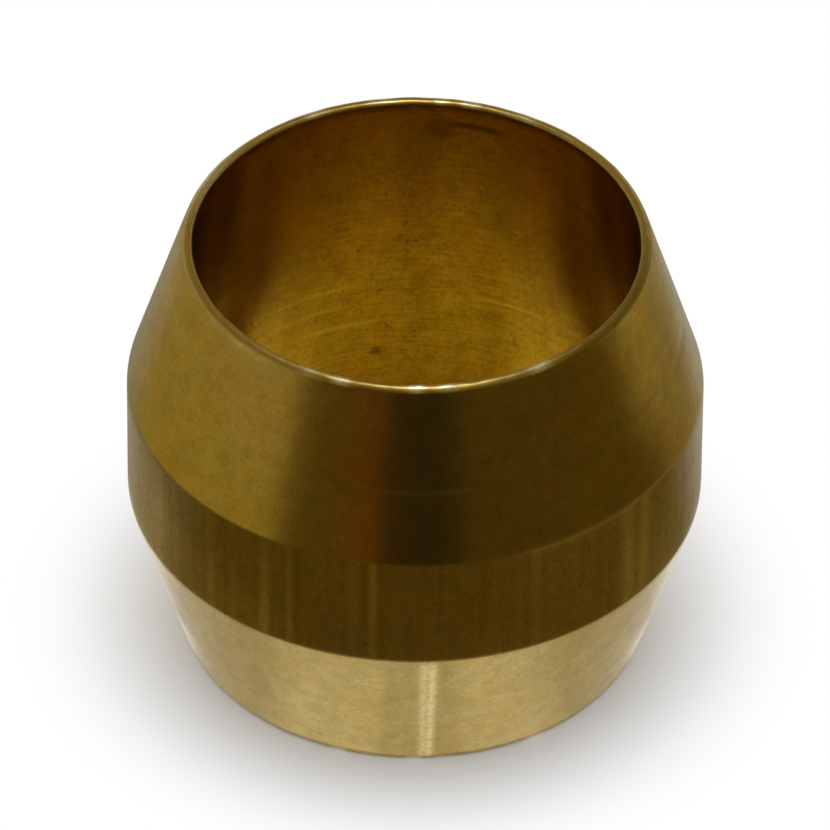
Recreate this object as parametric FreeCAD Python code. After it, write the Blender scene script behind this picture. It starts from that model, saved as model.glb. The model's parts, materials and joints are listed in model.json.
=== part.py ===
"""Compression olive: a one-piece turned brass ring that is squeezed onto a pipe to seal a compression joint.

A plain band runs round the middle and a cone tapers from it to a thin rim at each end, the same both ways.
Millimetres, +Z along the bore, with the origin at the centre of the lower end face that the ring stands on.
"""

import FreeCAD
import Part
import math
import os

# Driving dimensions of the ring
PIPE_DIAMETER = 6.0  # outside diameter of the pipe that the ring slides over
BORE_PLAY = 0.15  # how much wider the bore is than the pipe
BAND_WALL = 0.925  # wall of the plain band, the metal that is squeezed between pipe and seat
BAND_LENGTH = 1.75  # length of the band between the two cones
CONE_HALF_ANGLE = 17.5  # degrees between a cone's face and the axis
RIM_WALL = 0.15  # wall left at each end of the ring, where its cone stops
BAND_EDGE_RADIUS = 0.2  # rounding where the band turns into a cone
RIM_EDGE_RADIUS = 0.03  # rounding on both edges of each thin rim

# Sizes that follow from them
BORE_RADIUS = (PIPE_DIAMETER + BORE_PLAY) / 2
RIM_RADIUS = BORE_RADIUS + RIM_WALL
BAND_RADIUS = BORE_RADIUS + BAND_WALL
CONE_LENGTH = (BAND_WALL - RIM_WALL) / math.tan(math.radians(CONE_HALF_ANGLE))
BAND_BOTTOM = CONE_LENGTH
BAND_TOP = BAND_BOTTOM + BAND_LENGTH
OVERALL_LENGTH = BAND_TOP + CONE_LENGTH

AXIS_POINT = FreeCAD.Vector(0, 0, 0)
AXIS = FreeCAD.Vector(0, 0, 1)
FULL_TURN = 360
SAME_PLACE = 1e-6  # how close two lengths are to count as one


def half_section():
    """The wall of the ring on one side of the axis, with sharp corners, as a flat face in the XZ plane."""
    outline = [
        (BORE_RADIUS, 0),
        (RIM_RADIUS, 0),
        (BAND_RADIUS, BAND_BOTTOM),
        (BAND_RADIUS, BAND_TOP),
        (RIM_RADIUS, OVERALL_LENGTH),
        (BORE_RADIUS, OVERALL_LENGTH),
    ]
    corners = [FreeCAD.Vector(radius, 0, height) for radius, height in outline]
    return Part.Face(Part.makePolygon(corners + corners[:1]))


def circles(ring, radius, heights):
    """The ring's circular edges of one radius at the given heights."""
    return [
        edge
        for edge in ring.Edges
        if isinstance(edge.Curve, Part.Circle)
        and abs(edge.Curve.Radius - radius) < SAME_PLACE
        and any(abs(edge.Curve.Center.z - height) < SAME_PLACE for height in heights)
    ]


def turned_ring():
    """The ring as it comes off the lathe, with a sharp edge between each face and the next."""
    return half_section().revolve(AXIS_POINT, AXIS, FULL_TURN)


def tumbled_ring():
    """The turned ring with its edges rounded: softly at the band, and finely at the thin rims."""
    ring = turned_ring()
    rim_heights = (0, OVERALL_LENGTH)
    rim_edges = circles(ring, RIM_RADIUS, rim_heights) + circles(ring, BORE_RADIUS, rim_heights)
    ring = ring.makeFillet(RIM_EDGE_RADIUS, rim_edges)
    band_edges = circles(ring, BAND_RADIUS, (BAND_BOTTOM, BAND_TOP))
    return ring.makeFillet(BAND_EDGE_RADIUS, band_edges)


def main():
    """Writes the ring as one solid and prints its leading sizes."""
    os.makedirs("parts", exist_ok=True)
    olive = tumbled_ring()
    olive.exportStep("parts/olive.step")
    print(f"bore {2 * BORE_RADIUS:.3f}, band {2 * BAND_RADIUS:.3f}, length {OVERALL_LENGTH:.3f} mm")
    print(f"solids {len(olive.Solids)}, valid {olive.isValid()}, volume {olive.Volume:.3f} mm3")


main()
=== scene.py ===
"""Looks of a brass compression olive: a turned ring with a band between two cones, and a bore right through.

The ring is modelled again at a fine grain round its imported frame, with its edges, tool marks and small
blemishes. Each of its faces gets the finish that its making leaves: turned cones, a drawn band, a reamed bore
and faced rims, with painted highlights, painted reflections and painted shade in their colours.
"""

import json
import logging
import math
from abc import ABC, abstractmethod
from dataclasses import dataclass, field
from enum import Enum
from typing import Any, Callable

import bmesh
import bpy
from mathutils import Matrix, Vector


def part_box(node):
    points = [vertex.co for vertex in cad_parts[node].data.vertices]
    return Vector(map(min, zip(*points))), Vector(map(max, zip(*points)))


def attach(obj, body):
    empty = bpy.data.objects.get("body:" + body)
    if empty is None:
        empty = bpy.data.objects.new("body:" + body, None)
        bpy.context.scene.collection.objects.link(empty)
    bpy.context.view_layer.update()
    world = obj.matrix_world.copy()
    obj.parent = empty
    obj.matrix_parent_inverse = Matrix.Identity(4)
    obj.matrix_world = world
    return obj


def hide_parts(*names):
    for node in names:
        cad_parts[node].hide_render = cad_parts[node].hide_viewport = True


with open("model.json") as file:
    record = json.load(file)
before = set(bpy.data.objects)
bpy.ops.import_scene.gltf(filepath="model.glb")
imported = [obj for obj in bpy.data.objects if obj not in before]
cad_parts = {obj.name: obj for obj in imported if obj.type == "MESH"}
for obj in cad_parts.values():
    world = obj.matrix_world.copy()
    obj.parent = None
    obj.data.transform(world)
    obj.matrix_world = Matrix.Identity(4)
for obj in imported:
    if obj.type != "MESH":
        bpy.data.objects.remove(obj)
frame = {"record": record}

LOG = logging.getLogger("olive")
MM = 0.001
SAME_PLACE = 0.001 * MM
FULL_TURN = 360
STAGE_SIDES = 96
NODE = "olive"
BODY = "root"

Colour = tuple[float, float, float]
Span = tuple[float, float]
Stops = tuple[tuple[float, Colour], ...]


class Zone(Enum):
    """The faces of the ring, by how each one was made. The value is the finish's slot on the mesh."""

    CONE = 0
    BAND = 1
    BORE = 2
    RIM = 3


class Signal:
    """A number that changes over a surface: a shader socket that works in Python arithmetic."""

    def __init__(self, graph: "Graph", socket: bpy.types.NodeSocket) -> None:
        """Keeps the socket and the graph that new nodes go into."""
        self.graph = graph
        self.socket = socket

    def __add__(self, other: "Signal | float") -> "Signal":
        """Sum."""
        return self.graph.maths("ADD", self, other)

    def __sub__(self, other: "Signal | float") -> "Signal":
        """Difference."""
        return self.graph.maths("SUBTRACT", self, other)

    def __rsub__(self, other: float) -> "Signal":
        """Difference, with a number first."""
        return self.graph.maths("SUBTRACT", other, self)

    def __mul__(self, other: "Signal | float") -> "Signal":
        """Product."""
        return self.graph.maths("MULTIPLY", self, other)

    def __truediv__(self, other: "Signal | float") -> "Signal":
        """Quotient."""
        return self.graph.maths("DIVIDE", self, other)

    def step(self, low: float, high: float) -> "Signal":
        """A smooth step from 0 at low to 1 at high.

        Args:
            low: Where the step starts.
            high: Where the step ends.

        Returns:
            The step, between 0 and 1.
        """
        settings = {"interpolation_type": "SMOOTHSTEP"}
        sockets = {"Value": self, "From Min": low, "From Max": high}
        return self.graph.read("ShaderNodeMapRange", "Result", settings, sockets)


class Graph:
    """One node tree, with the means to add and link its nodes."""

    def __init__(self, tree: bpy.types.NodeTree) -> None:
        """Takes over a tree and empties it."""
        self.tree = tree
        tree.nodes.clear()

    def add(
        self, kind: str, settings: dict[str, Any] | None = None, sockets: dict[str, Any] | None = None
    ) -> bpy.types.Node:
        """Adds a node.

        Args:
            kind: The node's type.
            settings: What is set on the node itself before its sockets.
            sockets: Values or links of its inputs, by name or identifier.

        Returns:
            The new node.
        """
        node = self.tree.nodes.new(kind)
        for name, value in (settings or {}).items():
            if name == "stops":
                self.set_stops(node.color_ramp, value)
            else:
                setattr(node, name, value)
        for name, value in (sockets or {}).items():
            self.plug(self.find(node.inputs, name), value)
        return node

    def read(
        self,
        kind: str,
        output: str,
        settings: dict[str, Any] | None = None,
        sockets: dict[str, Any] | None = None,
    ) -> Signal:
        """Adds a node and reads one of its outputs.

        Args:
            kind: The node's type.
            output: The output's name or identifier.
            settings: What is set on the node itself before its sockets.
            sockets: Values or links of its inputs.

        Returns:
            The output.
        """
        node = self.add(kind, settings, sockets)
        return Signal(self, self.find(node.outputs, output))

    @staticmethod
    def set_stops(ramp: bpy.types.ColorRamp, stops: Stops) -> None:
        """Gives a ramp its stops, from left to right."""
        ramp.elements.remove(ramp.elements[-1])
        ramp.elements[0].position = stops[0][0]
        ramp.elements[0].color = (*stops[0][1], 1.0)
        for position, colour in stops[1:]:
            ramp.elements.new(position).color = (*colour, 1.0)

    @staticmethod
    def find(sockets: Any, name: str) -> bpy.types.NodeSocket:
        """The socket with this identifier or, failing that, this name."""
        by_identifier = [socket for socket in sockets if socket.identifier == name]
        return by_identifier[0] if by_identifier else sockets[name]

    def plug(self, socket: bpy.types.NodeSocket, value: Any) -> None:
        """Links a signal to an input, or sets a plain value on it."""
        if isinstance(value, Signal):
            self.tree.links.new(value.socket, socket)
        elif isinstance(value, bpy.types.NodeSocket):
            self.tree.links.new(value, socket)
        elif isinstance(value, tuple) and len(value) == 3 and socket.type == "RGBA":
            socket.default_value = (*value, 1.0)
        else:
            socket.default_value = value

    def maths(self, operation: str, *values: Signal | float) -> Signal:
        """Adds a Math node.

        Args:
            operation: Its operation.
            values: Its inputs, in order.

        Returns:
            Its result.
        """
        names = ("Value", "Value_001", "Value_002")
        return self.read("ShaderNodeMath", "Value", {"operation": operation}, dict(zip(names, values)))

    def place(self) -> Signal:
        """The point on the piece in its own frame, in millimetres."""
        here = self.read("ShaderNodeTexCoord", "Object")
        return self.stretched(here, (1 / MM, 1 / MM, 1 / MM))

    def stretched(self, vector: Signal, scale: tuple[float, float, float]) -> Signal:
        """A vector with each of its parts scaled."""
        sockets = {"Vector": vector, "Vector_001": scale}
        return self.read("ShaderNodeVectorMath", "Vector", {"operation": "MULTIPLY"}, sockets)

    def parts(self, vector: Signal) -> tuple[Signal, Signal, Signal]:
        """The three parts of a vector."""
        node = self.add("ShaderNodeSeparateXYZ", None, {"Vector": vector})
        return tuple(Signal(self, node.outputs[axis]) for axis in "XYZ")

    def turn(self, vector: Signal) -> Signal:
        """The angle round the ring's axis in degrees: 0 in front, 90 on the right."""
        x, y, _ = self.parts(vector)
        return self.maths("ARCTAN2", x, y * -1.0) * math.degrees(1)

    def ramp(self, factor: Signal, stops: Stops) -> Signal:
        """A colour that goes through the stops as the factor goes from 0 to 1."""
        return self.read("ShaderNodeValToRGB", "Color", {"stops": stops}, {"Fac": factor})

    def blend(self, factor: Signal, low: Any, high: Any) -> Signal:
        """A colour that goes from low to high with the factor."""
        sockets = {"Factor_Float": factor, "A_Color": low, "B_Color": high}
        return self.read("ShaderNodeMix", "Result_Color", {"data_type": "RGBA"}, sockets)


@dataclass(frozen=True)
class Pattern:
    """A smooth random pattern: features to a millimetre, finer layers on top, and how strong those are.

    With a span, it is a smooth step between these two of its values.
    """

    scale: float
    detail: float = 2.0
    roughness: float = 0.5
    span: Span | None = None

    def read(self, graph: Graph, place: Signal) -> Signal:
        """Adds the pattern to a finish.

        Args:
            graph: The finish's nodes.
            place: The point on the ring, in millimetres.

        Returns:
            The pattern, about 0 to 1.
        """
        sockets = {"Vector": place, "Scale": self.scale, "Detail": self.detail, "Roughness": self.roughness}
        noise = graph.read("ShaderNodeTexNoise", "Fac", None, sockets)
        return noise.step(*self.span) if self.span else noise


# Patterns and spans that the finishes share
PATTERN_MEAN = 0.5
CLOUDS = Pattern(1.2, 5.0, 0.6, (0.36, 0.64))
PATCHES = Pattern(2.7, 4.0, 0.6, (0.48, 0.66))
SPECKS = Pattern(9.0, 1.0, span=(0.68, 0.8))
MOTTLE = Pattern(4.0, 5.0, 0.65)
MOTTLE_SPAN = (0.36, 0.66)
GRAIN = Pattern(18.0, 2.0, 0.6)
MARK_SPAN = (0.4, 0.7)
TURNED_LINES = Pattern(1.0, 2.0, 0.6)
DRAWN_LINES = Pattern(1.0, 3.0, 0.6)
RAGGED_EDGE = Pattern(14.0)
# How the painted light streaks break up and fade.
PAINTED_STREAK_BREAKS = Pattern(13.0, 3.0, 0.7, (0.34, 0.58))
PAINTED_STREAK_BREAK_SHARE = 0.5
PAINTED_STREAK_FADING = Pattern(1.0, span=(0.3, 0.62))
PAINTED_STREAK_FADING_STRETCH = (1.6, 1.6, 0.9)


@dataclass(frozen=True)
class PaintedLightStreak:
    """A straight streak along the axis that is painted lighter: a painted highlight or painted reflection.

    Its place is an angle from the front and its half width is an angle too, in degrees.
    """

    angle: float
    half_width: float
    strength: float

    def mask(self, graph: Graph, angle: Signal) -> Signal:
        """Where the streak is, over the angle round the ring: a smooth bell."""
        off = graph.maths("ABSOLUTE", angle - self.angle)
        return (1 - off.step(0.0, self.half_width)) * self.strength


@dataclass(frozen=True)
class Scratch:
    """A line part of the way round, between two angles in degrees and two heights in millimetres.

    It is full over the core of its width. Along its way it comes in up to the first share of fade, and it
    goes out from the second one on.
    """

    angles: Span
    heights: Span
    half_width: float
    strength: float = 1.0
    core: float = 0.2
    fade: Span = (0.3, 0.6)

    def mask(self, graph: Graph, place: Signal) -> Signal:
        """Where the line is.

        Args:
            graph: The finish's nodes.
            place: The point on the ring, in millimetres.

        Returns:
            The line, at its full strength along its middle.
        """
        (start, end), (low, high) = self.angles, self.heights
        angle = graph.turn(place)
        _, _, z = graph.parts(place)
        along = (angle - start) / (end - start)
        off = graph.maths("ABSOLUTE", z - (along * (high - low) + low))
        ends = along.step(0.0, self.fade[0]) * (1 - along.step(self.fade[1], 1.0))
        return (1 - off.step(self.core * self.half_width, self.half_width)) * ends * self.strength


@dataclass(frozen=True)
class Blot:
    """A small dark spot on a round wall, at an angle in degrees, with its height and radii in millimetres."""

    angle: float
    height: float
    radius: float
    wall_radius: float
    strength: float = 1.0
    core: float = 0.35

    def mask(self, graph: Graph, place: Signal) -> Signal:
        """Where the spot is, with a ragged edge.

        Args:
            graph: The finish's nodes.
            place: The point on the ring, in millimetres.

        Returns:
            The spot, at its full strength in its middle.
        """
        _, _, z = graph.parts(place)
        across = (graph.turn(place) - self.angle) * math.radians(self.wall_radius)
        up = z - self.height
        off = graph.maths("SQRT", across * across + up * up)
        ragged = off + (RAGGED_EDGE.read(graph, place) - PATTERN_MEAN) * self.radius
        return (1 - ragged.step(self.core * self.radius, self.radius)) * self.strength


@dataclass(frozen=True)
class BrassFinish(ABC):
    """Bare brass as one way of working leaves it: its colours, how rough it is, and its marks, with painted
    highlights, painted glints and painted shade in its colours.
    """

    name: str
    tint: Colour
    warm_tint: Colour
    stain: Colour
    # Colour that painted highlights, painted reflections and painted glints blend toward.
    painted_highlight: Colour = (0.92, 0.74, 0.34)
    # Colour of dark specks and blemishes, and of painted shade.
    flaw_and_shade: Colour = (0.08, 0.045, 0.006)
    patch_tint: Colour = (0.50, 0.415, 0.150)
    # Strength of the dark marks and painted shade, and of the painted glints.
    flaw_and_shade_share: float = 0.6
    painted_glint_share: float = 0.6
    patch_share: float = 0.6
    mottle_share: float = 0.6
    grain_share: float = 0.4
    mark_share: float = 0.08
    speck_share: float = 0.35
    roughness: float = 0.24
    roughness_spread: float = 0.08
    anisotropy: float = 0.0
    grain_turn: float = 0.0
    mark_depth: float = 0.0002
    grain_depth: float = 0.0003
    # Painted light streaks: smoother metal under them, the height they reach, how softly they end and how
    # much they fade.
    polish: float = 0.3
    painted_streak_top: float = 100.0
    painted_streak_ease: float = 0.1
    painted_streak_fade: float = 0.6
    painted_light_streaks: tuple[PaintedLightStreak, ...] = ()
    # Dark marks: real blemishes, and painted shade where a finish lists it.
    flaws_and_painted_shade: tuple[Scratch | Blot, ...] = ()
    # Lines painted lighter: painted glints.
    painted_glints: tuple[Scratch, ...] = ()

    @abstractmethod
    def marks(self, graph: Graph, place: Signal) -> Signal:
        """The lines that the tool leaves, about 0 to 1. Each way of working has its own."""

    def painted_streak_light(self, graph: Graph, place: Signal) -> Signal:
        """How much the painted light streaks lighten each place: painted highlights and painted reflections.

        Args:
            graph: The finish's nodes.
            place: The point on the ring, in millimetres.

        Returns:
            The share of painted highlight colour.
        """
        angle = graph.turn(place)
        streaks: Signal | float = 0.0
        for painted_streak in self.painted_light_streaks:
            streaks = painted_streak.mask(graph, angle) + streaks
        _, _, z = graph.parts(place)
        below = 1 - z.step(self.painted_streak_top - self.painted_streak_ease, self.painted_streak_top + self.painted_streak_ease)
        fading = PAINTED_STREAK_FADING.read(graph, graph.stretched(place, PAINTED_STREAK_FADING_STRETCH))
        kept = fading * self.painted_streak_fade + (1 - self.painted_streak_fade)
        whole = PAINTED_STREAK_BREAKS.read(graph, place) * PAINTED_STREAK_BREAK_SHARE + (1 - PAINTED_STREAK_BREAK_SHARE)
        return streaks * below * kept * whole

    def colour(self, graph: Graph, place: Signal, marks: Signal, mottle: Signal) -> Signal:
        """The metal's colour: two tints in clouds, dull in mottles and along marks, with specks, dark
        blemishes, painted shade and painted glints.

        Args:
            graph: The finish's nodes.
            place: The point on the ring, in millimetres.
            marks: The tool's lines.
            mottle: Middling patches.

        Returns:
            The colour.
        """
        tint = graph.blend(CLOUDS.read(graph, place), self.tint, self.warm_tint)
        tint = graph.blend(PATCHES.read(graph, place) * self.patch_share, tint, self.patch_tint)
        dull = mottle.step(*MOTTLE_SPAN) * self.mottle_share + marks.step(*MARK_SPAN) * self.mark_share
        tint = graph.blend(dull, tint, self.stain)
        tint = graph.blend(SPECKS.read(graph, place) * self.speck_share, tint, self.flaw_and_shade)
        # Dark marks: real scratches, a smudge and a pit, and painted shade where a finish lists it.
        for flaw_and_shade in self.flaws_and_painted_shade:
            tint = graph.blend(flaw_and_shade.mask(graph, place) * self.flaw_and_shade_share, tint, self.flaw_and_shade)
        # Painted glints: lines blended toward the painted highlight colour.
        for painted_glint in self.painted_glints:
            tint = graph.blend(painted_glint.mask(graph, place) * self.painted_glint_share, tint, self.painted_highlight)
        return tint

    def material(self) -> bpy.types.Material:
        """The finish as a node material.

        Returns:
            The new material.
        """
        made = bpy.data.materials.new(self.name)
        made.use_nodes = True
        graph = Graph(made.node_tree)
        place = graph.place()
        marks = self.marks(graph, place)
        mottle = MOTTLE.read(graph, place)
        grain = GRAIN.read(graph, place)
        patchy = mottle * (1 - self.grain_share) + grain * self.grain_share
        colour = self.colour(graph, place, marks, patchy)
        spread = self.roughness_spread
        rough = (marks - PATTERN_MEAN) * spread + (mottle - PATTERN_MEAN) * spread + self.roughness
        # Painted highlights and reflections: the streaks blend the colour toward the painted highlight
        # colour, and the metal is smoother there.
        if self.painted_light_streaks:
            painted_streak_light = self.painted_streak_light(graph, place)
            colour = graph.blend(painted_streak_light, colour, self.painted_highlight)
            rough = rough * (1 - painted_streak_light * self.polish)
        height = marks * self.mark_depth + grain * self.grain_depth
        sockets = {"Strength": 1.0, "Distance": MM, "Height": height}
        bump = graph.read("ShaderNodeBump", "Normal", None, sockets)
        shader = graph.add(
            "ShaderNodeBsdfPrincipled",
            None,
            {
                "Base Color": colour,
                "Metallic": 1.0,
                "Roughness": rough,
                "Anisotropic": self.anisotropy,
                "Anisotropic Rotation": self.grain_turn,
                "Normal": bump,
            },
        )
        graph.add("ShaderNodeOutputMaterial", None, {"Surface": shader.outputs["BSDF"]})
        return made


@dataclass(frozen=True)
class TurnedFinish(BrassFinish):
    """Fine rings that a turning tool leaves round the ring's axis."""

    lines: float = 26.0
    round_the_axis: float = 0.5

    def marks(self, graph: Graph, place: Signal) -> Signal:
        """Lines round the axis, which come and go along their length."""
        along = graph.stretched(place, (self.round_the_axis, self.round_the_axis, self.lines))
        return TURNED_LINES.read(graph, along)


@dataclass(frozen=True)
class DrawnFinish(BrassFinish):
    """Straight lines along the axis, from the die that the stock was drawn through."""

    lines: float = 6.0
    along_the_axis: float = 0.3

    def marks(self, graph: Graph, place: Signal) -> Signal:
        """Lines along the axis, wide and narrow."""
        across = graph.stretched(place, (self.lines, self.lines, self.along_the_axis))
        return DRAWN_LINES.read(graph, across)


@dataclass
class OliveRing:
    """The ring, built as a person would: a circle extruded round its section, with its edges rounded."""

    bore_radius: float
    band_radius: float
    length: float
    rim_wall: float = 0.15 * MM
    band_length: float = 1.75 * MM
    band_edge: float = 0.35 * MM
    band_edge_steps: int = 6
    rim_inner_edge: float = 0.07 * MM
    rim_inner_steps: int = 6
    rim_outer_edge: float = 0.105 * MM
    rim_outer_steps: int = 8
    score_drop: float = 1.47 * MM
    score_depth: float = 0.006 * MM
    pit_angle: float = -169.5
    pit_height: float = 2.2 * MM
    pit_reach: float = 0.1 * MM
    pit_depth: float = 0.006 * MM
    pit_cuts: int = 4
    fray_reach: float = 0.16 * MM
    fray_depth: float = 0.02 * MM
    fray_grain: float = 0.3 * MM
    fray_layers: int = 2
    sides: int = 360
    cone_rings: int = 32
    band_rings: int = 14
    bore_rings: int = 64
    finishes: dict[Zone, BrassFinish] = field(default_factory=dict)

    @property
    def rim_radius(self) -> float:
        """Outside radius of the thin end rims."""
        return self.bore_radius + self.rim_wall

    @property
    def cone_length(self) -> float:
        """Length of each cone along the axis."""
        return (self.length - self.band_length) / 2

    @property
    def cone_angle(self) -> float:
        """Angle between a cone's face and the axis, in radians."""
        return math.atan2(self.band_radius - self.rim_radius, self.cone_length)

    def section(self) -> list[tuple[float, float]]:
        """The corners of the wall, as radius and height, starting inside at the foot."""
        band_top = self.cone_length + self.band_length
        return [
            (self.bore_radius, 0.0),
            (self.rim_radius, 0.0),
            (self.band_radius, self.cone_length),
            (self.band_radius, band_top),
            (self.rim_radius, self.length),
            (self.bore_radius, self.length),
            (self.bore_radius, 0.0),
        ]

    def build(self) -> bpy.types.Object:
        """Models the ring.

        Returns:
            The ring's object, in place.
        """
        piece = self.turn_section()
        self.round_edges(piece)
        self.cut_rings(piece)
        self.score_cone(piece)
        self.pit_bore(piece)
        bpy.ops.object.mode_set(mode="OBJECT")
        self.fray_rims(piece)
        bpy.ops.object.shade_smooth()
        return piece

    def turn_section(self) -> bpy.types.Object:
        """Extrudes a circle round the section and closes it, in edit mode.

        Returns:
            The ring with sharp corners.
        """
        corners = self.section()
        radius, height = corners[0]
        bpy.ops.object.select_all(action="DESELECT")
        bpy.ops.mesh.primitive_circle_add(vertices=self.sides, radius=radius, location=(0, 0, 0))
        piece = bpy.context.active_object
        piece.name = piece.data.name = "olive_ring"
        bpy.ops.object.mode_set(mode="EDIT")
        bpy.ops.mesh.select_all(action="SELECT")
        for next_radius, next_height in corners[1:]:
            rise = (0, 0, next_height - height)
            bpy.ops.mesh.extrude_region_move(TRANSFORM_OT_translate={"value": rise})
            spread = next_radius / radius
            bpy.ops.transform.resize(value=(spread, spread, 1), center_override=(0, 0, next_height))
            radius, height = next_radius, next_height
        bpy.ops.mesh.select_all(action="SELECT")
        bpy.ops.mesh.remove_doubles(threshold=SAME_PLACE)
        bpy.ops.mesh.normals_make_consistent(inside=False)
        return piece

    @staticmethod
    def pick_edges(piece: bpy.types.Object, wanted: Callable[[Vector, Vector], bool]) -> None:
        """Selects, in edit mode, the edges whose two ends pass a test, and nothing else.

        Args:
            piece: The object in edit mode.
            wanted: The test of an edge's two ends.
        """
        bpy.ops.mesh.select_mode(type="EDGE")
        bpy.ops.mesh.select_all(action="DESELECT")
        shape = bmesh.from_edit_mesh(piece.data)
        for edge in shape.edges:
            if wanted(edge.verts[0].co, edge.verts[1].co):
                edge.select_set(True)
        bmesh.update_edit_mesh(piece.data)

    @staticmethod
    def pick_points(piece: bpy.types.Object, wanted: Callable[[Vector], bool]) -> None:
        """Selects, in edit mode, the points that pass a test, and nothing else.

        Args:
            piece: The object in edit mode.
            wanted: The test of a point.
        """
        bpy.ops.mesh.select_mode(type="VERT")
        bpy.ops.mesh.select_all(action="DESELECT")
        shape = bmesh.from_edit_mesh(piece.data)
        for point in shape.verts:
            if wanted(point.co):
                point.select_set(True)
        shape.select_flush(True)
        bmesh.update_edit_mesh(piece.data)

    def round_edges(self, piece: bpy.types.Object) -> None:
        """Rounds the thin rims finely and the band's edges softly."""
        slack = 2 * SAME_PLACE
        ends = (0.0, self.length)
        band_ends = (self.cone_length, self.length - self.cone_length)
        outer_reach = self.rim_outer_edge * math.tan((math.pi / 2 - self.cone_angle) / 2)
        band_reach = self.band_edge * math.tan(self.cone_angle / 2)
        corners = (
            (self.bore_radius, ends, self.rim_inner_edge, self.rim_inner_steps),
            (self.rim_radius, ends, outer_reach, self.rim_outer_steps),
            (self.band_radius, band_ends, band_reach, self.band_edge_steps),
        )
        for radius, heights, reach, segments in corners:

            def on_corner(point: Vector) -> bool:
                """True for a point of the corner's circles."""
                level = any(abs(point.z - height) < slack for height in heights)
                return level and abs(point.xy.length - radius) < slack

            self.pick_edges(piece, lambda a, b: on_corner(a) and on_corner(b) and abs(a.z - b.z) < slack)
            bpy.ops.mesh.bevel(
                offset_type="OFFSET", offset=reach, segments=segments, profile=0.5, affect="EDGES"
            )

    def cut_rings(self, piece: bpy.types.Object) -> None:
        """Cuts the long faces into rings, and each flat rim into two."""
        long_edge = 0.4 * MM
        inside = self.bore_radius + 0.01 * MM
        shortest, longest = 0.9, 1.02
        across = self.rim_wall / 10

        def in_bore(a: Vector, b: Vector) -> bool:
            """True for an edge along the bore."""
            return abs(a.z - b.z) > long_edge and a.xy.length < inside and b.xy.length < inside

        self.pick_edges(piece, in_bore)
        bpy.ops.mesh.subdivide(number_cuts=self.bore_rings - 1)
        for run, rings in ((self.cone_length, self.cone_rings), (self.band_length, self.band_rings)):

            def on_face(a: Vector, b: Vector) -> bool:
                """True for an outer edge about as high as the face."""
                outer = min(a.xy.length, b.xy.length) > inside
                return outer and shortest * run < abs(a.z - b.z) < longest * run

            self.pick_edges(piece, on_face)
            bpy.ops.mesh.subdivide(number_cuts=rings - 1)

        def across_rim(a: Vector, b: Vector) -> bool:
            """True for an edge across a flat rim."""
            return abs(a.z - b.z) < SAME_PLACE and abs(a.xy.length - b.xy.length) > across

        self.pick_edges(piece, across_rim)
        bpy.ops.mesh.subdivide(number_cuts=1)

    def score_cone(self, piece: bpy.types.Object) -> None:
        """Presses a faint line round the upper cone, where the tool paused."""
        level = self.length - self.score_drop
        near = self.cone_length / self.cone_rings / 2
        radius = self.rim_radius + self.score_drop * math.tan(self.cone_angle)
        self.pick_points(piece, lambda p: abs(p.z - level) < near and p.xy.length > self.rim_radius)
        narrow = 1 - self.score_depth / radius
        bpy.ops.transform.resize(value=(narrow, narrow, 1), center_override=(0, 0, level))

    def pit_bore(self, piece: bpy.types.Object) -> None:
        """Makes a small pit in the wall of the bore."""
        same_point = 1e-9
        turn = math.radians(self.pit_angle)
        outward = Vector((math.sin(turn), -math.cos(turn), 0))
        centre = outward * self.bore_radius + Vector((0, 0, self.pit_height))
        self.pick_points(piece, lambda p: (p - centre).length < 2 * self.pit_reach)
        bpy.ops.mesh.subdivide(number_cuts=self.pit_cuts)
        shape = bmesh.from_edit_mesh(piece.data)
        middle = min(shape.verts, key=lambda point: (point.co - centre).length).co.copy()
        self.pick_points(piece, lambda p: (p - middle).length < same_point)
        bpy.ops.transform.translate(
            value=outward * self.pit_depth,
            use_proportional_edit=True,
            proportional_edit_falloff="SMOOTH",
            proportional_size=self.pit_reach,
        )

    def fray_rims(self, piece: bpy.types.Object) -> None:
        """Wears the thin rims unevenly, so that they catch the light in places."""
        worn = piece.vertex_groups.new(name="rims")
        for point in piece.data.vertices:
            from_end = min(point.co.z, self.length - point.co.z)
            if from_end < self.fray_reach:
                worn.add([point.index], 1 - from_end / self.fray_reach, "REPLACE")
        grain = bpy.data.textures.new("rim_wear", "CLOUDS")
        grain.noise_scale = self.fray_grain
        grain.noise_depth = self.fray_layers
        wear = piece.modifiers.new("rim_wear", "DISPLACE")
        wear.texture = grain
        wear.texture_coords = "LOCAL"
        wear.vertex_group = worn.name
        wear.mid_level = 1.0
        wear.strength = self.fray_depth
        bpy.ops.object.modifier_apply(modifier=wear.name)
        piece.vertex_groups.clear()

    def zone_of(self, centre: Vector) -> Zone:
        """How the face at this place was made.

        Args:
            centre: The middle of the face.

        Returns:
            The zone that the face belongs to.
        """
        from_end = min(centre.z, self.length - centre.z)
        bore_wall = self.bore_radius + self.pit_depth + 4 * SAME_PLACE
        if centre.xy.length < bore_wall and from_end > self.rim_inner_edge:
            return Zone.BORE
        if from_end < self.rim_outer_edge:
            return Zone.RIM
        if from_end > self.cone_length and centre.xy.length > self.band_radius - SAME_PLACE:
            return Zone.BAND
        return Zone.CONE

    def dress(self, piece: bpy.types.Object) -> None:
        """Gives each face of the ring the finish of its zone."""
        for zone in Zone:
            piece.data.materials.append(self.finishes[zone].material())
        for face in piece.data.polygons:
            face.material_index = self.zone_of(face.center).value


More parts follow.
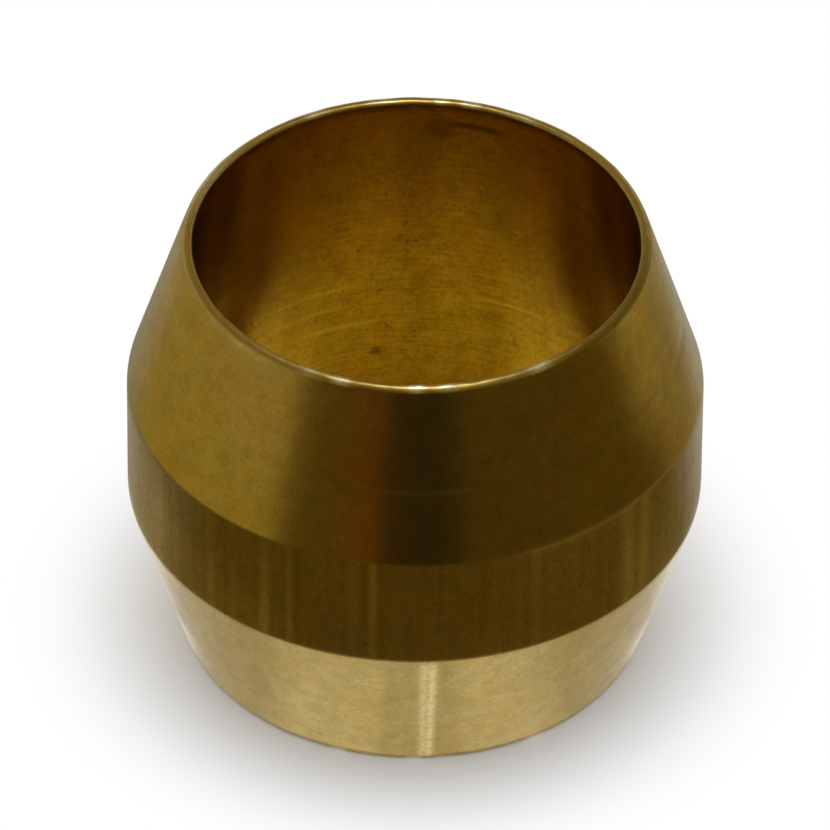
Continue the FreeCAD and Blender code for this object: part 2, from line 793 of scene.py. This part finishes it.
@dataclass(frozen=True)
class PhotoCamera:
    """A long lens that looks down on the standing ring from in front."""

    elevation: float = 39.604
    distance: float = 184.7 * MM
    lens: float = 576.4
    sensor_width: float = 36.0
    roll: float = 0.496
    target_height: float = 3.541 * MM
    clip: Span = (1 * MM, 10.0)

    def build(self) -> None:
        """Makes it the scene's camera."""
        data = bpy.data.cameras.new("camera")
        data.lens = self.lens
        data.sensor_width = self.sensor_width
        data.clip_start, data.clip_end = self.clip
        camera = bpy.data.objects.new("camera", data)
        bpy.context.scene.collection.objects.link(camera)
        tilt = math.radians(self.elevation)
        back = Vector((0, -math.cos(tilt), math.sin(tilt)))
        aim = (-back).to_track_quat("-Z", "Y").to_matrix().to_4x4()
        turn = Matrix.Rotation(math.radians(self.roll), 4, "Z")
        target = Vector((0, 0, self.target_height))
        camera.matrix_world = Matrix.Translation(target + back * self.distance) @ aim @ turn
        bpy.context.scene.camera = camera


class Tone(Enum):
    """The tones of the cards round the set."""

    SNOW = (1.000, 1.000, 1.000)
    WHITE = (0.780, 0.770, 0.740)
    DRAB = (0.640, 0.630, 0.590)
    DIM = (0.560, 0.530, 0.450)
    CREAM = (0.580, 0.540, 0.420)
    LIGHT = (0.470, 0.460, 0.430)
    GREY = (0.400, 0.380, 0.310)
    SMOKE = (0.340, 0.320, 0.260)
    HAZE = (0.460, 0.400, 0.220)
    PALE = (0.390, 0.350, 0.230)
    WARM = (0.400, 0.337, 0.160)
    HONEY = (0.375, 0.308, 0.090)
    FLAX = (0.360, 0.290, 0.095)
    REED = (0.335, 0.305, 0.165)
    MIST = (0.310, 0.265, 0.155)
    AMBER = (0.280, 0.220, 0.090)
    DUSKY = (0.210, 0.160, 0.060)
    SAND = (0.190, 0.150, 0.065)
    STRAW = (0.165, 0.120, 0.030)
    TAN = (0.145, 0.100, 0.020)
    BRASS = (0.125, 0.083, 0.014)
    DARK = (0.105, 0.070, 0.012)
    BROWN = (0.085, 0.058, 0.011)
    RUSSET = (0.160, 0.071, 0.010)
    RUST = (0.135, 0.060, 0.009)
    SHADE = (0.034, 0.025, 0.012)
    GOLD = (0.920, 0.750, 0.220)
    GLOW = (0.555, 0.430, 0.079)
    CINDER = (0.460, 0.345, 0.060)
    DUSK = (0.420, 0.315, 0.055)
    EMBER = (0.320, 0.225, 0.035)


Tones = tuple[tuple[float, Tone], ...]


class Corner(Enum):
    """Where a card ends and the next one starts, as radius and height in millimetres."""

    HUB = (0.01, 0.02)
    WELL = (2.1, 0.02)
    BORE = (3.06, 0.02)
    RIM = (3.27, 0.02)
    TOE = (3.52, 0.02)
    LEDGE = (5.3, 0.02)
    STEP = (7.2, 0.02)
    LIP = (9.2, 0.02)
    BOWL = (9.92, 0.8)
    SIDE = (10.84, 2.5)
    BRIM = (11.6, 3.9)
    RISE = (12.5, 5.56)
    WALL = (16.0, 12.0)
    EAVES = (16.0, 28.0)
    PEAK = (0.01, 30.0)

    def metres(self) -> tuple[float, float]:
        """The radius and the height in metres."""
        radius, height = self.value
        return radius * MM, height * MM


@dataclass(frozen=True)
class Screen:
    """A strip of card all the way round the set, which shows only as bright metal mirrors it.

    Its tones go round the set, each at an angle: 0 degrees is in front, where the camera stands, and 90 is
    on the right.
    """

    name: str
    start: Corner
    end: Corner
    tones: Tones

    def build(self) -> None:
        """Makes the strip between its two edges."""
        radius, height = self.start.metres()
        end_radius, end_height = self.end.metres()
        bpy.ops.object.select_all(action="DESELECT")
        bpy.ops.mesh.primitive_circle_add(vertices=STAGE_SIDES, radius=radius, location=(0, 0, height))
        strip = bpy.context.active_object
        strip.name = strip.data.name = self.name
        bpy.ops.object.mode_set(mode="EDIT")
        bpy.ops.mesh.select_all(action="SELECT")
        bpy.ops.mesh.extrude_region_move(TRANSFORM_OT_translate={"value": (0, 0, end_height - height)})
        spread = end_radius / radius
        bpy.ops.transform.resize(value=(spread, spread, 1), center_override=(0, 0, end_height))
        bpy.ops.object.mode_set(mode="OBJECT")
        bpy.ops.object.transform_apply(location=True, rotation=True, scale=True)
        strip.data.materials.append(self.glow())
        strip.visible_camera = False
        strip.visible_diffuse = False
        strip.visible_transmission = False
        strip.visible_volume_scatter = False
        strip.visible_shadow = False

    def glow(self) -> bpy.types.Material:
        """The card's own tones.

        Returns:
            The new material.
        """
        made = bpy.data.materials.new(self.name)
        made.use_nodes = True
        graph = Graph(made.node_tree)
        angle = graph.turn(graph.read("ShaderNodeTexCoord", "Object"))
        stops = tuple((degrees / FULL_TURN + 0.5, tone.value) for degrees, tone in self.tones)
        colour = graph.ramp(angle / FULL_TURN + 0.5, stops)
        shader = graph.add("ShaderNodeEmission", None, {"Color": colour, "Strength": 1.0})
        graph.add("ShaderNodeOutputMaterial", None, {"Surface": shader.outputs["Emission"]})
        return made


def mirrored(right: Tones, middle: Tones = ()) -> Tones:
    """Tones on the right of the set and the same ones on its left, with those of the middle between them."""
    return tuple((-angle, tone) for angle, tone in reversed(right)) + middle + right


def front_tones(stripe: Tone) -> Tones:
    """Dark tones in front of the set, with a stripe a little to the left of the middle."""
    return (
        (-40, Tone.DARK),
        (-24, Tone.DARK),
        (-21, stripe),
        (-13, stripe),
        (-9, Tone.SHADE),
        (12, Tone.SHADE),
        (17, Tone.BROWN),
    )


def cards_below() -> tuple[Screen, ...]:
    """The cards under the bore, which its wall mirrors."""
    well = (
        (12, Tone.DUSK),
        (24, Tone.GLOW),
        (100, Tone.GLOW),
        (119, Tone.CINDER),
        (140, Tone.CINDER),
        (151, Tone.GLOW),
        (157, Tone.GLOW),
        (168, Tone.DUSK),
    )
    edge = (
        (12, Tone.DUSK),
        (24, Tone.GLOW),
        (56, Tone.GLOW),
        (66, Tone.CINDER),
        (80, Tone.CINDER),
        (92, Tone.EMBER),
        (131, Tone.EMBER),
        (142, Tone.GOLD),
        (155, Tone.GLOW),
        (168, Tone.DUSK),
    )
    return (
        Screen("well_card", Corner.HUB, Corner.WELL, mirrored(well)),
        Screen("edge_card", Corner.WELL, Corner.BORE, mirrored(edge)),
    )


def cards_on_floor() -> tuple[Screen, ...]:
    """The cards on the floor, out to the bowl: two for the lower cone to mirror, and three for the band."""
    middle = ((-10, Tone.WHITE), (-7, Tone.DRAB), (11, Tone.DRAB), (15, Tone.WHITE))
    flank = ((30, Tone.WHITE), (45, Tone.DIM), (60, Tone.DIM))
    toe = flank + ((68, Tone.DRAB), (78, Tone.SNOW))
    foot = flank + ((82, Tone.DRAB), (95, Tone.SNOW))
    near = (
        (-126, Tone.GREY),
        (-90, Tone.MIST),
        (-75, Tone.SAND),
        (-60, Tone.TAN),
        (-45, Tone.TAN),
        (-33, Tone.DARK),
        (5, Tone.DARK),
        (25, Tone.BRASS),
        (62, Tone.BRASS),
        (72, Tone.STRAW),
        (78, Tone.STRAW),
        (97, Tone.SAND),
        (126, Tone.LIGHT),
    )
    far = (
        (-126, Tone.SMOKE),
        (-70, Tone.DARK),
        (20, Tone.DARK),
        (30, Tone.BRASS),
        (62, Tone.BRASS),
        (74, Tone.TAN),
        (95, Tone.TAN),
        (126, Tone.LIGHT),
    )
    lip = (
        (-126, Tone.SMOKE),
        (-68, Tone.DARK),
        (24, Tone.DARK),
        (42, Tone.SAND),
        (80, Tone.SAND),
        (100, Tone.AMBER),
        (126, Tone.LIGHT),
    )
    return (
        Screen("toe_card", Corner.RIM, Corner.TOE, mirrored(toe, middle)),
        Screen("foot_card", Corner.TOE, Corner.LEDGE, mirrored(foot, middle)),
        Screen("near_card", Corner.LEDGE, Corner.STEP, near),
        Screen("far_card", Corner.STEP, Corner.LIP, far),
        Screen("lip_card", Corner.LIP, Corner.BOWL, lip),
    )


def cards_around() -> tuple[Screen, ...]:
    """The cards that stand round the set: a bowl that the upper cone mirrors, a wall above it and a roof."""
    low_left = ((-135, Tone.PALE), (-110, Tone.HONEY), (-47, Tone.HONEY))
    high_left = ((-135, Tone.PALE), (-110, Tone.WARM), (-47, Tone.WARM))
    rise_left = ((-75, Tone.CREAM), (-52, Tone.WARM), (-47, Tone.WARM))
    low_right = ((84, Tone.DARK), (100, Tone.AMBER), (118, Tone.AMBER), (135, Tone.PALE))
    high_right = ((80, Tone.DARK), (95, Tone.FLAX), (106, Tone.FLAX), (122, Tone.REED), (138, Tone.GREY))
    rise_right = ((70, Tone.DARK), (90, Tone.AMBER), (125, Tone.AMBER), (145, Tone.CREAM))
    bowl = low_left + front_tones(Tone.RUSSET) + low_right
    side = low_left + front_tones(Tone.RUSSET) + high_right
    brim = high_left + front_tones(Tone.RUST) + high_right
    rise = rise_left + front_tones(Tone.RUST) + rise_right
    wall = ((-170, Tone.DUSKY), (-145, Tone.AMBER), (-70, Tone.AMBER), (-50, Tone.DUSKY))
    roof = ((30, Tone.HAZE), (60, Tone.DUSKY), (105, Tone.DUSKY), (145, Tone.HAZE))
    return (
        Screen("bowl_card", Corner.BOWL, Corner.SIDE, bowl),
        Screen("side_card", Corner.SIDE, Corner.BRIM, side),
        Screen("brim_card", Corner.BRIM, Corner.RISE, brim),
        Screen("rise_card", Corner.RISE, Corner.WALL, rise),
        Screen("high_card", Corner.WALL, Corner.EAVES, wall),
        Screen("roof_card", Corner.EAVES, Corner.PEAK, mirrored(roof)),
    )


@dataclass(frozen=True)
class Studio:
    """A pale floor in soft light, with one soft lamp overhead and cards for the metal to mirror."""

    floor_radius: float = 120 * MM
    floor_tone: Colour = (0.95, 0.95, 0.95)
    white: Colour = (1.0, 1.0, 1.0)
    shadow_reach: Span = (3.0 * MM, 5.8 * MM)
    sky: float = 0.9
    lamp_height: float = 25 * MM
    lamp_radius: float = 3.2 * MM
    lamp_glow: float = 6.8

    def build(self) -> None:
        """Makes the floor, the light and the cards."""
        self.floor()
        self.world()
        self.lamp()
        for screen in (*cards_below(), *cards_on_floor(), *cards_around()):
            screen.build()

    @staticmethod
    def seen(graph: Graph) -> Signal:
        """1 for what is seen, also mirrored or through glass, and 0 for light on its way to a surface."""
        kinds = ("Camera", "Glossy", "Transmission")
        camera, glossy, clear = (graph.read("ShaderNodeLightPath", f"Is {kind} Ray") for kind in kinds)
        return graph.maths("MAXIMUM", graph.maths("MAXIMUM", camera, glossy), clear)

    def floor(self) -> None:
        """A plain pale disc, which keeps the ring's shadow and goes over into the white of the background."""
        bpy.ops.object.select_all(action="DESELECT")
        bpy.ops.mesh.primitive_circle_add(
            vertices=STAGE_SIDES, radius=self.floor_radius, fill_type="NGON", location=(0, 0, 0)
        )
        floor = bpy.context.active_object
        floor.name = floor.data.name = "floor"
        paint = bpy.data.materials.new("pale_floor")
        paint.use_nodes = True
        graph = Graph(paint.node_tree)
        pale = graph.add("ShaderNodeBsdfDiffuse", None, {"Color": self.floor_tone})
        white = graph.add("ShaderNodeEmission", None, {"Color": self.white, "Strength": 1.0})
        here = graph.read("ShaderNodeTexCoord", "Object")
        away = graph.read("ShaderNodeVectorMath", "Value", {"operation": "LENGTH"}, {"Vector": here})
        share = away.step(*self.shadow_reach) * self.seen(graph)
        surface = graph.add(
            "ShaderNodeMixShader",
            None,
            {"Fac": share, "Shader": pale.outputs["BSDF"], "Shader_001": white.outputs["Emission"]},
        )
        graph.add("ShaderNodeOutputMaterial", None, {"Surface": surface.outputs["Shader"]})
        floor.data.materials.append(paint)

    def world(self) -> None:
        """Soft white light from all over, before a white background."""
        world = bpy.data.worlds.new("studio")
        bpy.context.scene.world = world
        world.use_nodes = True
        graph = Graph(world.node_tree)
        strength = self.seen(graph) * (1 - self.sky) + self.sky
        shader = graph.add("ShaderNodeBackground", None, {"Color": self.white, "Strength": strength})
        graph.add("ShaderNodeOutputWorld", None, {"Surface": shader.outputs["Background"]})

    def lamp(self) -> None:
        """A round soft lamp overhead, which draws a line of light round the rim."""
        data = bpy.data.lights.new("key", "AREA")
        data.shape = "DISK"
        data.size = 2 * self.lamp_radius
        data.energy = self.lamp_glow * math.pi * math.pi * self.lamp_radius**2
        lamp = bpy.data.objects.new("key", data)
        lamp.location = (0, 0, self.lamp_height)
        lamp.visible_camera = False
        bpy.context.scene.collection.objects.link(lamp)


# Colours that the outer faces share, and a painted glint along the band's top edge
BRASS = (0.63, 0.475, 0.160)
WARM_BRASS = (0.61, 0.42, 0.120)
STAIN = (0.42, 0.29, 0.075)
PAINTED_EDGE_GLINT = Scratch((16.0, 68.0), (4.18, 4.18), 0.12, 0.3)


def cone_finish() -> BrassFinish:
    """The turned cones: a painted reflection streak down the lower one, and painted glints on the upper one's
    scored line and along the band's top edge.
    """
    return TurnedFinish(
        "turned_cone",
        BRASS,
        WARM_BRASS,
        STAIN,
        painted_highlight=(1.0, 0.79, 0.37),
        anisotropy=0.3,
        speck_share=0.2,
        painted_streak_top=2.4,
        painted_streak_fade=0.1,
        # Painted reflection: streaks painted lighter down the front of the lower cone.
        painted_light_streaks=(PaintedLightStreak(3.2, 3.4, 0.5), PaintedLightStreak(2.2, 1.3, 0.4), PaintedLightStreak(4.1, 1.3, 0.6)),
        # Painted glints: a line round the upper cone at its scored ring, and one along the band's top edge.
        painted_glints=(Scratch((-10.0, 17.0), (5.2, 5.2), 0.06, 0.6), PAINTED_EDGE_GLINT),
    )


def band_finish() -> BrassFinish:
    """The drawn band, with painted reflections in streaks along it and a painted glint along its top edge."""
    return DrawnFinish(
        "drawn_band",
        BRASS,
        WARM_BRASS,
        STAIN,
        mark_share=0.4,
        mottle_share=0.65,
        grain_share=0.7,
        # Painted reflections: streaks painted lighter along the band, where the round band mirrors its
        # surroundings.
        painted_light_streaks=(
            PaintedLightStreak(-61, 4, 0.25),
            PaintedLightStreak(-44.3, 1.8, 0.5),
            PaintedLightStreak(-38.4, 1.6, 0.35),
            PaintedLightStreak(-30.8, 2.1, 0.8),
            PaintedLightStreak(-25.2, 1.4, 0.6),
            PaintedLightStreak(-12, 1.8, 0.3),
            PaintedLightStreak(-8, 1.5, 0.7),
            PaintedLightStreak(24.8, 2.0, 0.2),
            PaintedLightStreak(47.6, 3.0, 0.85),
            PaintedLightStreak(52.2, 2.6, 0.65),
        ),
        painted_glints=(PAINTED_EDGE_GLINT,),
    )


def bore_finish(wall_radius: float) -> BrassFinish:
    """The reamed bore, with painted shade at its sides and at the back of its foot, painted light in two wide
    streaks, painted glints along four lines, and a scratch, a smudge and a pit.

    Args:
        wall_radius: The bore's radius, in millimetres.

    Returns:
        The finish.
    """
    both_ways = (1, -1)
    # Painted shade: darker bands high on the wall's back sides, and low at the back near its foot.
    painted_side_shade = [Scratch((way * 114.0, way * 150.0), (5.3, 5.3), 1.7, 0.55) for way in both_ways]
    painted_foot_shade = [Scratch((way * 118.0, way * 205.0), (0.45, 0.45), 1.3) for way in both_ways]
    return TurnedFinish(
        "reamed_bore",
        tint=(0.45, 0.300, 0.038),
        warm_tint=(0.47, 0.255, 0.028),
        stain=(0.27, 0.155, 0.017),
        painted_highlight=(1.0, 0.74, 0.19),
        patch_tint=(0.365, 0.28, 0.038),
        roughness=0.2,
        roughness_spread=0.05,
        anisotropy=0.7,
        grain_turn=0.25,
        speck_share=0.45,
        mark_share=0.36,
        mottle_share=0.7,
        grain_share=0.5,
        lines=24.0,
        round_the_axis=1.3,
        polish=0.1,
        painted_streak_top=5.5,
        painted_streak_ease=0.9,
        painted_streak_fade=0.3,
        # Painted light: two wide streaks painted lighter on the back of the wall, below its top.
        painted_light_streaks=(PaintedLightStreak(-145, 14, 0.38), PaintedLightStreak(146, 14, 0.54)),
        flaw_and_shade_share=0.7,
        # A real scratch, a smudge and a pit, and the painted shade.
        flaws_and_painted_shade=(
            Scratch((174.0, 153.0), (6.31, 6.28), 0.09),
            *painted_side_shade,
            *painted_foot_shade,
            Blot(174.0, 6.2, 0.3, wall_radius, 0.7),
            Blot(-169.5, 2.2, 0.125, wall_radius),
        ),
        painted_glint_share=0.17,
        # Painted glints: four arcs of tool line painted lighter.
        painted_glints=(
            Scratch((-168.0, -134.0), (3.45, 3.45), 0.06),
            Scratch((-164.0, -132.0), (3.1, 3.1), 0.05),
            Scratch((-174.0, -140.0), (2.75, 2.75), 0.06),
            Scratch((138.0, 170.0), (3.25, 3.25), 0.06),
        ),
    )


def rim_finish() -> BrassFinish:
    """The faced rims, with painted highlights in places and painted shade in others."""
    upper_rim = (6.6, 6.6)
    reach = 0.3
    return TurnedFinish(
        "faced_rim",
        tint=(0.54, 0.400, 0.125),
        warm_tint=(0.52, 0.355, 0.095),
        stain=STAIN,
        painted_highlight=(1.0, 0.93, 0.72),
        roughness=0.36,
        mottle_share=0.3,
        polish=0.1,
        painted_streak_fade=0.1,
        # Painted highlights: streaks painted lighter where the rim catches the lamp, mostly in front and at
        # the back.
        painted_light_streaks=(
            PaintedLightStreak(-171, 6, 0.6),
            PaintedLightStreak(-153, 6, 0.6),
            PaintedLightStreak(-115, 22, 0.55),
            PaintedLightStreak(-27, 5, 0.35),
            PaintedLightStreak(-18.5, 3.5, 1.0),
            PaintedLightStreak(0.5, 3, 1.0),
            PaintedLightStreak(8, 4, 0.5),
            PaintedLightStreak(32, 5, 1.0),
            PaintedLightStreak(152, 6, 0.5),
            PaintedLightStreak(166, 4, 0.8),
            PaintedLightStreak(174, 3, 0.8),
        ),
        # Painted shade: the upper rim painted darker at its sides, and between two painted highlights in
        # front.
        flaws_and_painted_shade=(
            Scratch((30.0, 100.0), upper_rim, reach, 0.55),
            Scratch((-40.0, -90.0), upper_rim, reach, 0.2),
            Scratch((-17.0, -1.0), upper_rim, reach, 0.6),
        ),
    )


def main() -> None:
    """Builds the ring, its studio and the camera, and reports each piece."""
    logging.basicConfig(level=logging.INFO, format="%(name)s: %(message)s")
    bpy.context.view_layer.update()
    bpy.context.scene.view_settings.view_transform = "Standard"
    mounts = {mount["name"]: mount["dims"] for mount in frame["record"]["mounts"]}
    bore_radius = mounts["pipe_bore"]["r_mm"]
    low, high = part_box(NODE)
    ring = OliveRing(
        bore_radius=bore_radius * MM,
        band_radius=mounts["band"]["r_mm"] * MM,
        length=high.z - low.z,
        finishes={
            Zone.CONE: cone_finish(),
            Zone.BAND: band_finish(),
            Zone.BORE: bore_finish(bore_radius),
            Zone.RIM: rim_finish(),
        },
    )
    piece = ring.build()
    ring.dress(piece)
    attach(piece, BODY)
    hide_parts(NODE)
    LOG.info("%s: %d faces", piece.name, len(piece.data.polygons))
    Studio().build()
    PhotoCamera().build()


if __name__ == "__main__":
    main()
